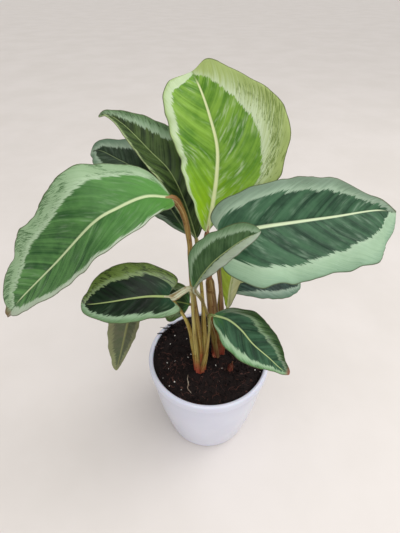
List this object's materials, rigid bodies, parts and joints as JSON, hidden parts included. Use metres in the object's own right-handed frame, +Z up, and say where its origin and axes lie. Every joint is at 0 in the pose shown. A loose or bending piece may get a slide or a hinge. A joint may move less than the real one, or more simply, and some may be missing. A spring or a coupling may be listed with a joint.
{
  "type": "potted calathea",
  "caption": "House plant with broad patterned oval leaves on thin stems, growing from soil in a round glossy pot with a rolled lip.",
  "frame": {"origin": "centre of the pot's flat underside, on the surface that it stands on", "axes": "+Z up along the pot's axis; +X and +Y across, with the two largest leaves spread along -X and +X and the plant's back towards +Y"},
  "size_m": [0.2933, 0.1476, 0.3743],
  "materials": {
    "pot": "glossy white",
    "soil": "matt, damp potting mix",
    "crown": "satin, pinkish red",
    "stem": "satin, brown to olive",
    "leaf": "semi-gloss, dark centre and pale margin"
  },
  "bodies": {
    "root": {"pot": "pot", "soil": "soil", "crown_left": "crown", "crown_right": "crown", "new_shoot": "crown", "sheath_right": "stem", "stem_arching": "stem", "leaf_arching": "leaf", "stem_upright": "stem", "leaf_upright": "leaf", "stem_right": "stem", "leaf_right": "leaf", "stem_pointed": "stem", "leaf_pointed": "leaf", "stem_rolled": "stem", "leaf_rolled": "leaf", "stem_oval": "stem", "leaf_oval": "leaf", "stem_front": "stem", "leaf_front": "leaf", "stem_low": "stem", "leaf_low": "leaf", "stem_lime": "stem", "leaf_lime": "leaf", "stem_hanging": "stem", "leaf_hanging": "leaf", "stem_shaded": "stem", "leaf_shaded": "leaf", "stem_back": "stem", "leaf_back": "leaf"}
  },
  "joints": []
}
